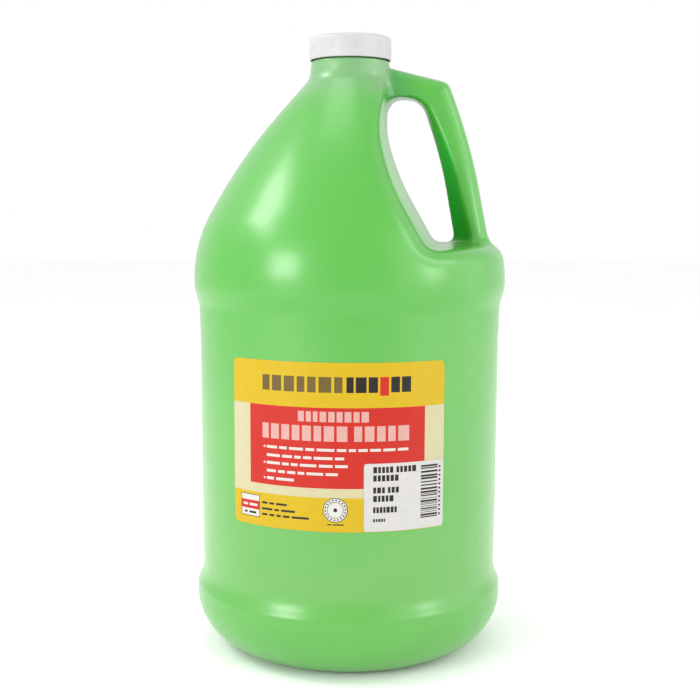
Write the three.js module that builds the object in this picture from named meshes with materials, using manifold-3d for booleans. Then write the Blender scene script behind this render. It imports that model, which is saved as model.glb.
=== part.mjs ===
// A one-gallon round handled paint jug with its screw cap, cap liner, paint, front label and sticker.
// Millimetres, +Z up. The origin is the middle of the base on the floor, the handle is towards +X and
// the label faces -Y.
import * as THREE from 'three';
import { mergeVertices } from 'three/addons/utils/BufferGeometryUtils.js';
import Module from 'manifold-3d';

// Driving dimensions
const BASE_RADIUS = 76.5;
const PANEL_RADIUS = 73.9;
const SHOULDER_RADIUS = 76.7;
const NECK_RADIUS = 17.5;
const BORE_RADIUS = 15.6;
const WALL = 1.0;
const TOUCH_GAP = 0.3;
const FACETS = 40;
const ARC_SAG = 0.35;

const NECK_FOOT_Z = 288.5;
const RIM_Z = 296.9;
const FILL_LEVEL = 263;
const PUSH_UP = 5.5;
const CONTACT_RING_INNER = 41;

const HANDLE_WIDTH = 26;
const HANDLE_EDGE = 7;
const HANDLE_EDGE_INSET = 4;
const HANDLE_INNER_SLOPE = 7;
const HAND_RECESS_DRAFT = 7.5;
const PARTING_LAND = 2;

const THREAD_LEAD = 25.4 / 6;
const THREAD_START_Z = 290.6;
const THREAD_CREST_RADIUS = 18.75;
const CAP_THREAD_DROP = 1.6;

const CAP_RADIUS = 20;
const CAP_SKIRT_RADIUS = 19.85;
const CAP_BOTTOM_Z = 288.5;
const CAP_TOP_Z = 299.5;
const CAP_TOP_THICKNESS = 1.2;
const CAP_INNER_RADIUS = 19.05;
const CAP_THREAD_RADIUS = 17.85;
const CAP_EDGE = 1.6;
const RIB_HEIGHT = 4.2;
const RIB_WIDTH = 0.5;
const RIB_PITCH = 1;
const RIB_CENTRE_Z = 294.4;
const RIB_PHASE_DEGREES = 30.5;
const RIB_GROUPS = 10;
const RIBS_PER_GROUP = 4;

const LINER_RADIUS = 18.6;
const LINER_THICKNESS = 0.8;

const LABEL_LOW = 72.7;
const LABEL_HEIGHT = 76.5;
const LABEL_WIDTH = 104.6;
const LABEL_CORNER = 2.5;
const SHEET_THICKNESS = 0.2;
const STICKER_WIDTH = 39;
const STICKER_HEIGHT = 31;
const STICKER_MARGIN = 0.2;
const STICKER_CORNER = 1;

const wasm = await Module();
wasm.setup();

// Outline corners are [across, up, rounding radius].

// Outside of the blown body, from the middle of the base out and up to the neck
const BODY_CORNERS = [
  [0, PUSH_UP, 0],
  [30, PUSH_UP - 0.5, 14],
  [CONTACT_RING_INNER, 0, 3],
  [72.2, 0, 26],
  [BASE_RADIUS, 22.8, 16.6],
  [BASE_RADIUS, 33, 9],
  [PANEL_RADIUS, 40.2, 9],
  [PANEL_RADIUS, 170.5, 10],
  [SHOULDER_RADIUS, 178.5, 24],
  [SHOULDER_RADIUS, 200.4, 66],
  [52.1, 243.3, 250],
  [19.6, 279.3, 10.6],
  [18, NECK_FOOT_Z, 0],
];

// The neck above the body, from its foot over the rim to the bore
const NECK_CORNERS = [
  [NECK_RADIUS, NECK_FOOT_Z + 0.5, 0],
  [NECK_RADIUS, RIM_Z, 0.5],
  [0, RIM_Z, 0],
];

// Side of the body behind the fingers, which the hand recess and the finger opening share
const PALM_WALL = [
  [17.9, 255.5, 52],
  [25, 232, 112],
];
const RECESS_FLOOR_Z = 201.2;

const RECESS_CORNERS = [
  [19.5, 310, 0],
  ...PALM_WALL,
  [42.6, RECESS_FLOOR_Z, 6],
  [100, RECESS_FLOOR_Z, 0],
  [100, 310, 0],
];

// The opening's body side and floor lie just inside the body, whose own recess walls close it
const HIDDEN = 1.5;
const FINGER_OPENING = [
  [17.9 - HIDDEN, 270.3, 6],
  ...PALM_WALL.map(([x, z, radius]) => [x - HIDDEN, z, radius]),
  [42.6 - HIDDEN, RECESS_FLOOR_Z - HIDDEN, 6],
  [52.4, RECESS_FLOOR_Z - HIDDEN, 6],
  [45.2, 240, 200],
  [35.4, 270.3, 8.5],
];

const HANDLE_CORNERS = [
  [8, 186, 0],
  [70, 186, 0],
  [75.5, 194.3, 0],
  [68.2, 203, 8],
  [58.6, 247.6, 280],
  [47.6, 278.2, 6],
  [8, 288.2, 0],
];

// Points of an outline with each corner rounded by an arc
function roundedOutline(corners, closed) {
  const points = [];
  corners.forEach(([x, y, radius], i) => {
    const corner = new THREE.Vector2(x, y);
    const atEnd = !closed && (i === 0 || i === corners.length - 1);
    if (atEnd || radius <= 0) {
      points.push(corner);
      return;
    }
    const [previousX, previousY] = corners.at(i - 1);
    const [nextX, nextY] = corners[(i + 1) % corners.length];
    const back = new THREE.Vector2(previousX, previousY).sub(corner).normalize();
    const ahead = new THREE.Vector2(nextX, nextY).sub(corner).normalize();
    const halfAngle = Math.acos(THREE.MathUtils.clamp(back.dot(ahead), -1, 1)) / 2;
    const turn = Math.PI - 2 * halfAngle;
    const reach = radius / Math.sin(halfAngle);
    const centre = back.clone().add(ahead).normalize().multiplyScalar(reach).add(corner);
    const sense = -Math.sign(back.cross(ahead));
    const start = back.multiplyScalar(radius / Math.tan(halfAngle)).add(corner).sub(centre);
    const steps = Math.ceil(turn / (2 * Math.acos(1 - ARC_SAG / radius)));
    for (let step = 0; step <= steps; step++) {
      points.push(start.clone().rotateAround(new THREE.Vector2(), sense * turn * step / steps).add(centre));
    }
  });
  return points;
}

// The same corners with every edge moved inwards, to the left of the way the outline runs
function insetCorners(corners, inset) {
  const edges = corners.slice(1).map(([x, y], i) => {
    const from = new THREE.Vector2(corners[i][0], corners[i][1]);
    const along = new THREE.Vector2(x, y).sub(from).normalize();
    return { along, from: from.add(new THREE.Vector2(-along.y, along.x).multiplyScalar(inset)) };
  });
  const inner = edges.slice(1).map((edge, i) => {
    const before = edges[i];
    const bend = before.along.cross(edge.along);
    const reach = edge.from.clone().sub(before.from).cross(edge.along) / bend;
    const meeting = before.along.clone().multiplyScalar(reach).add(before.from);
    const radius = corners[i + 1][2] - Math.sign(bend) * inset;
    return [meeting.x, meeting.y, Math.max(radius, 0)];
  });
  return [[0, corners[0][1] + inset, 0], ...inner];
}

function toSolid(geometry) {
  const plain = geometry.clone();
  plain.deleteAttribute('normal');
  plain.deleteAttribute('uv');
  const merged = mergeVertices(plain);
  return new wasm.Manifold(new wasm.Mesh({
    numProp: 3,
    vertProperties: merged.attributes.position.array,
    triVerts: Uint32Array.from(merged.index.array),
  }));
}

function toGeometry(solid) {
  const mesh = solid.getMesh();
  const geometry = new THREE.BufferGeometry();
  geometry.setAttribute('position', new THREE.BufferAttribute(mesh.vertProperties, 3));
  geometry.setIndex(new THREE.BufferAttribute(mesh.triVerts, 1));
  geometry.computeVertexNormals();
  return geometry;
}

// A solid turned about Z from a half outline that starts and ends on the axis, or closes on itself
function turned(outline) {
  return toSolid(new THREE.LatheGeometry(outline, FACETS).rotateX(Math.PI / 2));
}

// A solid with a side view in X and Z, symmetric about Y = 0
function sideSolid(corners, { flat, edge, edgeGrowth, growth }) {
  const geometry = new THREE.ExtrudeGeometry(new THREE.Shape(roundedOutline(corners, true)), {
    depth: flat,
    bevelThickness: edge,
    bevelSize: -edgeGrowth,
    bevelOffset: edgeGrowth + growth,
    bevelSegments: edgeGrowth < 0 ? 3 : 1,
  });
  return toSolid(geometry.translate(0, 0, -flat / 2).rotateX(Math.PI / 2));
}

// The pockets on both sides of the handle, wider towards the outside by the mould's draft
function handRecess(growth) {
  const reach = 85;
  const draft = Math.tan(THREE.MathUtils.degToRad(HAND_RECESS_DRAFT));
  return sideSolid(RECESS_CORNERS, { flat: PARTING_LAND, edge: reach, edgeGrowth: reach * draft, growth });
}

// The hollow handle with its sloped inner faces and rounded outer edges
function handle(inset) {
  const bar = sideSolid(HANDLE_CORNERS, {
    flat: HANDLE_WIDTH - 2 * HANDLE_EDGE - 2 * inset,
    edge: HANDLE_EDGE,
    edgeGrowth: -HANDLE_EDGE_INSET,
    growth: -inset,
  });
  const opening = sideSolid(FINGER_OPENING, {
    flat: PARTING_LAND,
    edge: HANDLE_WIDTH / 2,
    edgeGrowth: HANDLE_INNER_SLOPE,
    growth: inset,
  });
  return bar.subtract(opening);
}

function outsideForm() {
  const outline = roundedOutline([...BODY_CORNERS, ...NECK_CORNERS], false);
  return turned(outline).subtract(handRecess(0)).add(handle(0));
}

// The jug's inside, drawn in by inset and open upwards through the neck
function insideForm(inset) {
  const body = insetCorners(BODY_CORNERS, inset);
  const bore = BORE_RADIUS - (inset - WALL);
  const corners = [...body, [bore, NECK_FOOT_Z - 1, 2], [bore, RIM_Z + 5, 0]];
  const outline = [...roundedOutline(corners, false), new THREE.Vector2(0, RIM_Z + 5)];
  return turned(outline).subtract(handRecess(inset)).add(handle(inset));
}

// A helical ridge: a straight trapezoidal bar wound round the axis, fading out at both ends
function threadRidge({ rootRadius, crestRadius, rootHalf, crestHalf, startZ, startTurn, turns }) {
  const root = rootRadius - Math.sign(crestRadius - rootRadius) * 0.3;
  const section = new THREE.Shape([
    new THREE.Vector2(root, -rootHalf),
    new THREE.Vector2(crestRadius, -crestHalf),
    new THREE.Vector2(crestRadius, crestHalf),
    new THREE.Vector2(root, rootHalf),
  ]);
  const bar = new THREE.ExtrudeGeometry(section, {
    depth: 1,
    steps: Math.round(turns * FACETS),
    bevelEnabled: false,
  });
  const position = bar.attributes.position;
  for (let i = 0; i < position.count; i++) {
    const along = 1 - position.getZ(i);
    const turn = startTurn + turns * along;
    const fade = Math.min(1, 0.1 + 10 * along, 0.1 + 10 * (1 - along));
    const radius = root + (position.getX(i) - root) * fade;
    const angle = 2 * Math.PI * turn;
    const z = startZ + THREAD_LEAD * turn + position.getY(i);
    position.setXYZ(i, radius * Math.cos(angle), radius * Math.sin(angle), z);
  }
  return toSolid(bar);
}

// The blown jug: an outside form less its inside, with the neck's thread
function jugBody() {
  const thread = threadRidge({
    rootRadius: NECK_RADIUS,
    crestRadius: THREAD_CREST_RADIUS,
    rootHalf: 0.95,
    crestHalf: 0.45,
    startZ: THREAD_START_Z,
    startTurn: 0,
    turns: 1.15,
  });
  return outsideForm().add(thread).subtract(insideForm(WALL));
}

// The liquid, which fills the jug and its handle up to a level surface
function paintFill() {
  const below = new THREE.BoxGeometry(200, 200, FILL_LEVEL).translate(0, 0, FILL_LEVEL / 2);
  return insideForm(WALL + TOUCH_GAP).intersect(toSolid(below));
}

// Groups of fine upright ribs round the skirt
function gripRibs() {
  const depth = 0.8;
  const ribs = [];
  for (let index = 0; index < RIB_GROUPS * RIBS_PER_GROUP; index++) {
    const place = index % RIBS_PER_GROUP - (RIBS_PER_GROUP - 1) / 2;
    const groupDegrees = RIB_PHASE_DEGREES + 360 * Math.floor(index / RIBS_PER_GROUP) / RIB_GROUPS;
    const angle = THREE.MathUtils.degToRad(groupDegrees) + place * RIB_PITCH / CAP_RADIUS;
    const rib = new THREE.BoxGeometry(depth, RIB_WIDTH, RIB_HEIGHT);
    ribs.push(toSolid(rib.translate(CAP_RADIUS - depth / 2, 0, RIB_CENTRE_Z).rotateZ(angle)));
  }
  return ribs;
}

// The cap: a flat top, a ribbed skirt and an inner thread that meets the neck's from below
function screwCap() {
  const ceiling = CAP_TOP_Z - CAP_TOP_THICKNESS;
  const shell = turned(roundedOutline([
    [0, ceiling, 0],
    [CAP_INNER_RADIUS, ceiling, 0],
    [CAP_INNER_RADIUS, CAP_BOTTOM_Z, 0],
    [CAP_SKIRT_RADIUS, CAP_BOTTOM_Z, 0],
    [CAP_SKIRT_RADIUS, CAP_TOP_Z, CAP_EDGE],
    [0, CAP_TOP_Z, 0],
  ], false));
  const thread = threadRidge({
    rootRadius: CAP_INNER_RADIUS,
    crestRadius: CAP_THREAD_RADIUS,
    rootHalf: 0.8,
    crestHalf: 0.4,
    startZ: THREAD_START_Z - CAP_THREAD_DROP,
    startTurn: 0.25,
    turns: 1.1,
  });
  return gripRibs().reduce((cap, rib) => cap.add(rib), shell.add(thread));
}

function capLiner() {
  const low = RIM_Z + TOUCH_GAP;
  const high = low + LINER_THICKNESS;
  return turned(roundedOutline([
    [0, low, 0],
    [LINER_RADIUS, low, 0],
    [LINER_RADIUS, high, 0],
    [0, high, 0],
  ], false));
}

// A thin sheet stuck on the panel: a ring cut to a rounded rectangle that looks towards -Y
function sheet({ radius, centreAngle, low, width, height, corner }) {
  const outer = radius + SHEET_THICKNESS;
  const spare = 5;
  const ring = turned(roundedOutline([
    [radius, low - spare, 0],
    [outer, low - spare, 0],
    [outer, low + height + spare, 0],
    [radius, low + height + spare, 0],
    [radius, low - spare, 0],
  ], false));
  const across = (arc) => outer * Math.sin(centreAngle + arc / PANEL_RADIUS);
  const left = across(-width / 2);
  const right = across(width / 2);
  const outline = roundedOutline([
    [left, low, corner],
    [right, low, corner],
    [right, low + height, corner],
    [left, low + height, corner],
  ], true);
  const cutter = new THREE.ExtrudeGeometry(new THREE.Shape(outline), { depth: 100, bevelEnabled: false });
  return ring.intersect(toSolid(cutter.rotateX(Math.PI / 2)));
}

function frontLabel() {
  return sheet({
    radius: PANEL_RADIUS + TOUCH_GAP,
    centreAngle: 0,
    low: LABEL_LOW,
    width: LABEL_WIDTH,
    height: LABEL_HEIGHT,
    corner: LABEL_CORNER,
  });
}

// The sticker lies over the label's lower right corner
function variantSticker() {
  const fromMiddle = (LABEL_WIDTH - STICKER_WIDTH) / 2 - STICKER_MARGIN;
  return sheet({
    radius: PANEL_RADIUS + SHEET_THICKNESS + 2 * TOUCH_GAP,
    centreAngle: fromMiddle / PANEL_RADIUS,
    low: LABEL_LOW + STICKER_MARGIN,
    width: STICKER_WIDTH,
    height: STICKER_HEIGHT,
    corner: STICKER_CORNER,
  });
}

const group = new THREE.Group();

function addPart(name, solid, look) {
  const mesh = new THREE.Mesh(toGeometry(solid), new THREE.MeshStandardMaterial(look));
  mesh.name = name;
  group.add(mesh);
}

addPart('jug_body', jugBody(), { color: 0xb9e6b0, roughness: 0.32, metalness: 0 });
addPart('paint_fill', paintFill(), { color: 0x5cc84a, roughness: 0.25, metalness: 0 });
addPart('screw_cap', screwCap(), { color: 0xe4e2e3, roughness: 0.55, metalness: 0 });
addPart('cap_liner', capLiner(), { color: 0xf0efea, roughness: 0.8, metalness: 0 });
addPart('front_label', frontLabel(), { color: 0xeec82a, roughness: 0.45, metalness: 0 });
addPart('variant_sticker', variantSticker(), { color: 0xe8e4de, roughness: 0.5, metalness: 0 });

export default group;
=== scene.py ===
"""A one-gallon round handled jug of light green paint: fine surfaces and materials around the CAD frame.

Shapes are worked out in millimetres in the CAD's frame, +Z up with the handle towards +X and the label
facing -Y, and turned into metres where each mesh is made.
"""
import math

import bpy
import numpy as np
from mathutils import Matrix, Vector


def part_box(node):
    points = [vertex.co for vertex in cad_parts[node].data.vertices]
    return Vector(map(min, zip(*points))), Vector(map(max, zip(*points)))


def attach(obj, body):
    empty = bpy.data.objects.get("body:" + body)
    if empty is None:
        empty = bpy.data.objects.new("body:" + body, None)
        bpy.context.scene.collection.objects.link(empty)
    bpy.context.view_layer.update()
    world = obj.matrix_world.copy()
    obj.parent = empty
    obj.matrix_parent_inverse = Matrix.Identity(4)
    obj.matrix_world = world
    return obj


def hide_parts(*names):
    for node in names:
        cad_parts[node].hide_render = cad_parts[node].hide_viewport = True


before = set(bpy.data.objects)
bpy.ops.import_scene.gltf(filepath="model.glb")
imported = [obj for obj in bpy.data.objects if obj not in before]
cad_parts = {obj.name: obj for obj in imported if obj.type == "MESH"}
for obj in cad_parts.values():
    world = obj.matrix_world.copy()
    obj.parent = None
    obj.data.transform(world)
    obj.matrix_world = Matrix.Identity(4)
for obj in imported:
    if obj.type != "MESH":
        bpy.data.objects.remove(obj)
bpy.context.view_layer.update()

MM = 0.001
RNG = np.random.default_rng(11)

# Sizes in millimetres
PANEL_RADIUS = 73.9
SHOULDER_RADIUS = 76.7
BASE_RADIUS = 76.5
WALL = 1.0
PAINT_GAP = 0.3
FILL_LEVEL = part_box("paint_fill")[1][2] / MM
RIM_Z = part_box("jug_body")[1][2] / MM
# The blown body's net ends at this level, and the turned neck finish goes on above it
NECK_CUT_Z = 287.0
NECK_RADIUS = 17.5
BORE_RADIUS = 15.6
THREAD_LEAD = 25.4 / 6


# ---------------------------------------------------------------- outlines and their distance fields

def rounded(corners, closed=False, sag=0.01):
    """Points of an outline whose corners are (across, up, rounding radius)."""
    points = []
    last = len(corners) - 1
    for i, (x, y, radius) in enumerate(corners):
        corner = np.array([x, y], float)
        if radius == 0 or (not closed and i in (0, last)):
            points.append(corner)
            continue
        back = np.array(corners[i - 1][:2]) - corner
        ahead = np.array(corners[(i + 1) % len(corners)][:2]) - corner
        back /= np.linalg.norm(back)
        ahead /= np.linalg.norm(ahead)
        half = math.acos(np.clip(back @ ahead, -1, 1)) / 2
        middle = back + ahead
        centre = corner + middle / np.linalg.norm(middle) * radius / math.sin(half)
        start = corner + back * radius / math.tan(half) - centre
        turn = (math.pi - 2 * half) * -np.sign(back[0] * ahead[1] - back[1] * ahead[0])
        steps = max(2, math.ceil(abs(turn) / (2 * math.acos(1 - sag / radius))))
        for angle in np.linspace(0, turn, steps + 1):
            c, s = math.cos(angle), math.sin(angle)
            points.append(centre + [c * start[0] - s * start[1], s * start[0] + c * start[1]])
    return np.array(points)


class Field:
    """Signed distance to an outline, negative inside, kept on a fine grid and read by cubic interpolation."""

    STEP = 0.6
    MARGIN = 9
    BATCHES = 40

    def __init__(self, line, low, high, closing=(), mirrored=False):
        """line bounds the shape; closing points complete the loop without counting as its edge."""
        self.low = np.array(low, float) - self.MARGIN * self.STEP
        size = np.ceil((np.array(high) - self.low) / self.STEP).astype(int) + self.MARGIN
        across, up = np.meshgrid(*(np.arange(n) * self.STEP for n in size), indexing="ij")
        at = np.stack([across, up], -1).reshape(-1, 2) + self.low
        if mirrored:
            at[:, 0] = np.abs(at[:, 0])
        loop = np.vstack([line, *closing]) if len(closing) else line
        ends = (line, np.roll(line, -1, 0)) if not len(closing) else (line[:-1], line[1:])
        batches = np.array_split(at, self.BATCHES)
        distance = np.sqrt(np.concatenate([self._nearest(p, *ends) for p in batches]))
        inside = np.concatenate([self._inside(p, loop) for p in batches])
        self.values = np.where(inside, -distance, distance).reshape(size)

    @staticmethod
    def _nearest(points, start, end):
        """Squared distance from each point to the nearest of the segments."""
        along = end - start
        length = np.maximum((along ** 2).sum(1), 1e-12)
        offset = points[:, None] - start
        share = np.clip((offset * along).sum(2) / length, 0, 1)
        return ((offset - share[..., None] * along) ** 2).sum(2).min(1)

    @staticmethod
    def _inside(points, loop):
        """Even-odd test against the closed loop."""
        x, y = points[:, :1], points[:, 1:]
        ax, ay = loop.T
        bx, by = np.roll(loop, -1, 0).T
        spans = (ay > y) != (by > y)
        crossing = ax + (y - ay) * (bx - ax) / np.where(by == ay, 1e-9, by - ay)
        return (spans & (x < crossing)).sum(1) % 2 == 1

    @staticmethod
    def _weights(t):
        """Catmull-Rom weights of the four grid lines round a point."""
        return (
            ((-0.5 * t + 1) * t - 0.5) * t,
            (1.5 * t - 2.5) * t * t + 1,
            ((-1.5 * t + 2) * t + 0.5) * t,
            (0.5 * t - 0.5) * t * t,
        )

    def __call__(self, across, up):
        rows, columns = self.values.shape
        far_u = (across - self.low[0]) / self.STEP
        far_v = (up - self.low[1]) / self.STEP
        u = np.clip(far_u, 1, rows - 3.001)
        v = np.clip(far_v, 1, columns - 3.001)
        beyond = np.hypot(far_u - u, far_v - v) * self.STEP
        i, j = u.astype(int), v.astype(int)
        in_u, in_v = self._weights(u - i), self._weights(v - j)
        total = 0
        for a in range(4):
            row = sum(in_v[b] * self.values[i + a - 1, j + b - 1] for b in range(4))
            total = total + in_u[a] * row
        return total + beyond


def smooth_max(a, b, width):
    """The larger of two fields, blended over a width where they meet."""
    blend = np.maximum(width - np.abs(a - b), 0) / width
    return np.maximum(a, b) + blend * blend * width / 4


def smooth_min(a, b, width):
    return -smooth_max(-a, -b, width)


def smooth_step(value, low, high):
    share = np.clip((value - low) / (high - low), 0, 1)
    return share * share * (3 - 2 * share)


# ---------------------------------------------------------------- the blown jug as one smooth form

# The jug's half outline, from the middle of its underside up to the neck
BODY_CORNERS = [
    (0, 5.5, 0),
    (30, 5, 14),
    (41, 0, 3),
    (71.8, 0, 27.5),
    (BASE_RADIUS, 24.6, 16),
    (BASE_RADIUS, 31.7, 4.5),
    (73.55, 38.1, 18),
    (PANEL_RADIUS, 72, 200),
    (PANEL_RADIUS, 152, 200),
    (74.35, 170.5, 4),
    (SHOULDER_RADIUS, 178.5, 24),
    (SHOULDER_RADIUS, 200.4, 66),
    (52.1, 243.3, 250),
    (19.9, 279.6, 8),
    (18.9, 288.5, 0),
    (18.8, 320, 0),
]

# The hand recess: its wall faces the handle, and its floor is the ledge that the handle stands on
RECESS_CORNERS = [
    (24, 330, 0),
    (20.2, 285, 60),
    (17.2, 255.5, 52),
    (24.4, 232, 112),
    (41.9, 201.2, 6),
    (130, 201.2, 0),
    (130, 330, 0),
]

# How widely the recess is blended into the body: at its sides, at the ledge and up by the neck
RECESS_RIM = 7.5
LEDGE_RIM = 9.5
HIGH_RIM = 3.0

# The finger opening, whose body side and floor lie inside the body so that only the handle shows them
OPENING_CORNERS = [
    (6, 270.3, 0),
    (6, 240, 0),
    (30, 190, 0),
    (54.0, 190, 0),
    (44.9, 240, 200),
    (34.6, 270.2, 11),
]
OPENING_EDGE = 2.3

# The handle's grip and top bar, which run on inside the body
BAR_CORNERS = [
    (8, 184, 0),
    (66, 184, 0),
    (68.1, 203, 0),
    (59.2, 247.6, 280),
    (47.9, 277.8, 6),
    (8, 287.7, 0),
]
BAR_EDGE = 9.0
HANDLE_HALF_WIDTH = 13.0
HANDLE_NARROWING = 3.5
NARROWING_LEVELS = (232, 276)

# Places and the values there, with straight lines between: the recess's draft in degrees, the opening's
# flare for each millimetre off the parting plane, and how widely the handle is blended into the body
DRAFT_BY_LEVEL = ((225, 262), (3.6, 3.0))
RIM_BY_SIDE = ((15, 35), (LEDGE_RIM, RECESS_RIM))
RIM_BY_LEVEL = ((240, 262), (RECESS_RIM, HIGH_RIM))
FLARE_BY_LEVEL = ((205, 228, 253, 270), (0.74, 0.56, 0.38, 0.32))
FLARE_SHARE_BY_X = ((30, 42), (0.1, 1))
JOIN_BY_LEVEL = ((215, 250, 268, 284), (5.0, 8.0, 8.0, 1.2))

# Drafts and flares fade out within about this distance of the parting plane, so that there is no crease
PARTING_ROUND = 2.0

# Below this level the jug is turned, and above it a net follows the form; a closed level's edge is rounded
LATHE_TOP = 160.0
NET_STEP = 1.68
INNER_NET_STEP = 2.15
PAINT_NET_STEP = 2.2
LEVEL_EDGE = 0.5


class JugForm:
    """The jug's outside as a field in space, negative inside the plastic's outer skin."""

    def __init__(self):
        side = {"low": (0, 170), "high": (95, 312)}
        self.profile = Field(rounded(BODY_CORNERS), (0, 0), (90, 312), closing=[(0, 320)], mirrored=True)
        self.recess = Field(rounded(RECESS_CORNERS, True), **side)
        self.opening = Field(rounded(OPENING_CORNERS, True), **side)
        self.bar = Field(rounded(BAR_CORNERS, True), **side)

    def __call__(self, p):
        x, y, z = p.T
        body = self.profile(np.hypot(x, y), z)
        side = np.abs(y)
        off_parting = np.hypot(y, PARTING_ROUND) - PARTING_ROUND
        high = z > RIM_BY_LEVEL[0][0]
        rim = np.where(high, np.interp(z, *RIM_BY_LEVEL), np.interp(side, *RIM_BY_SIDE))
        draft = np.tan(np.radians(np.interp(z, *DRAFT_BY_LEVEL)))
        cut = smooth_max(body, draft * off_parting - self.recess(x, z), rim)
        half_width = HANDLE_HALF_WIDTH - HANDLE_NARROWING * smooth_step(z, *NARROWING_LEVELS)
        bar = smooth_max(self.bar(x, z), side - half_width, BAR_EDGE)
        flare = np.interp(z, *FLARE_BY_LEVEL) * np.interp(x, *FLARE_SHARE_BY_X)
        handle = smooth_max(bar, flare * off_parting - self.opening(x, z), OPENING_EDGE)
        return smooth_min(cut, handle, np.interp(z, *JOIN_BY_LEVEL))

    def slope(self, p):
        """The field's gradient."""
        reach = 0.2
        ahead = [self(p + axis * reach) - self(p - axis * reach) for axis in np.eye(3)]
        return np.stack(ahead, 1) / (2 * reach)


class Inset:
    """A form moved inwards by a distance, and closed above a level if one is given."""

    def __init__(self, form, distance, level=None):
        self.form = form
        self.distance = distance
        self.level = level

    def __call__(self, p):
        value = self.form(p) + self.distance
        if self.level is None:
            return value
        return smooth_max(value, p[:, 2] - self.level, LEVEL_EDGE)

    slope = JugForm.slope


# ---------------------------------------------------------------- meshing a field

def surface_net(form, low, high, step):
    """Vertices and outward quads of the surface where the field is zero, one vertex to a grid cell."""
    counts = [max(2, round((b - a) / step)) for a, b in zip(low, high)]
    axes = [np.linspace(a, b, n + 1) for a, b, n in zip(low, high, counts)]
    spacing = np.array([axis[1] - axis[0] for axis in axes])
    grid = np.stack(np.meshgrid(*axes, indexing="ij"), -1)
    values = form(grid.reshape(-1, 3)).reshape(grid.shape[:3])
    ni, nj, nk = counts

    def corner(di, dj, dk):
        return values[di:ni + di, dj:nj + dj, dk:nk + dk]

    filled = sum((corner(*c) < 0).astype(int) for c in np.ndindex(2, 2, 2))
    active = (filled > 0) & (filled < 8)
    index = np.full(active.shape, -1)
    index[active] = np.arange(active.sum())
    place = np.zeros((active.sum(), 3))
    crossings = np.zeros(active.sum())
    for axis in range(3):
        for c in np.ndindex(2, 2, 2):
            if c[axis]:
                continue
            other = list(c)
            other[axis] = 1
            a, b = corner(*c)[active], corner(*other)[active]
            crosses = (a < 0) != (b < 0)
            at = np.tile(np.array(c, float), (len(a), 1))
            at[:, axis] += np.where(crosses, a / np.where(crosses, a - b, 1), 0)
            place[crosses] += at[crosses]
            crossings[crosses] += 1
    vertices = (np.argwhere(active) + place / crossings[:, None]) * spacing + np.array(low)

    quads = []
    for axis in range(3):
        order = (axis, (axis + 1) % 3, (axis + 2) % 3)
        a = np.transpose(values, order) < 0
        cells = np.transpose(index, order)
        first, second = a[:-1, 1:-1, 1:-1], a[1:, 1:-1, 1:-1]
        for leaving, turn in ((first & ~second, 1), (~first & second, -1)):
            i, j, k = np.nonzero(leaving)
            ring = [cells[i, j, k], cells[i, j + 1, k], cells[i, j + 1, k + 1], cells[i, j, k + 1]]
            quads.append(np.stack(ring[::turn], 1))
    return vertices, np.concatenate(quads)


# The lowest ring's vertices lie within this height of the lowest one
RING_BAND = 5

# The share of the way that a vertex slides to its neighbours' middle in a round
SLIDE = 0.6

# Squared slopes are taken as at least this, so that no vertex is thrown far
LEAST_SLOPE = 0.1


def open_rings(quads, vertices):
    """The net's open edges as rings of vertices in order of angle round Z, lowest ring first."""
    sides = np.concatenate([quads[:, [n, (n + 1) % 4]] for n in range(4)])
    sides, uses = np.unique(np.sort(sides, 1), axis=0, return_counts=True)
    edge = np.unique(sides[uses == 1])
    lowest = vertices[edge, 2] < vertices[edge, 2].min() + RING_BAND
    found = []
    for part in (edge[lowest], edge[~lowest]):
        if len(part):
            found.append(part[np.argsort(np.arctan2(vertices[part, 1], vertices[part, 0]))])
    return found


def settle(form, vertices, quads, levels, rounds=5):
    """Evens out the net along the surface and puts every vertex on it; open rings stay at their levels."""
    sides = np.concatenate([quads[:, [n, (n + 1) % 4]] for n in range(4)])
    sides = np.unique(np.sort(sides, 1), axis=0)
    pairs = np.concatenate([sides, sides[:, ::-1]])
    degree = np.bincount(pairs[:, 0], minlength=len(vertices))[:, None]
    found = open_rings(quads, vertices) if levels else []
    for turn in range(rounds):
        if turn < rounds - 1:
            slope = form.slope(vertices)
            normal = slope / np.linalg.norm(slope, axis=1, keepdims=True)
            columns = [np.bincount(pairs[:, 0], vertices[pairs[:, 1], n], len(vertices)) for n in range(3)]
            drift = np.stack(columns, 1) / degree - vertices
            drift -= (drift * normal).sum(1, keepdims=True) * normal
            vertices = vertices + SLIDE * drift
        for ring, level in zip(found, levels):
            vertices[ring, 2] = level
        slope = form.slope(vertices)
        for ring in found:
            slope[ring, 2] = 0
        size = np.maximum((slope ** 2).sum(1), LEAST_SLOPE)
        vertices = vertices - slope * (form(vertices) / size)[:, None]
    return vertices, found


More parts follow.
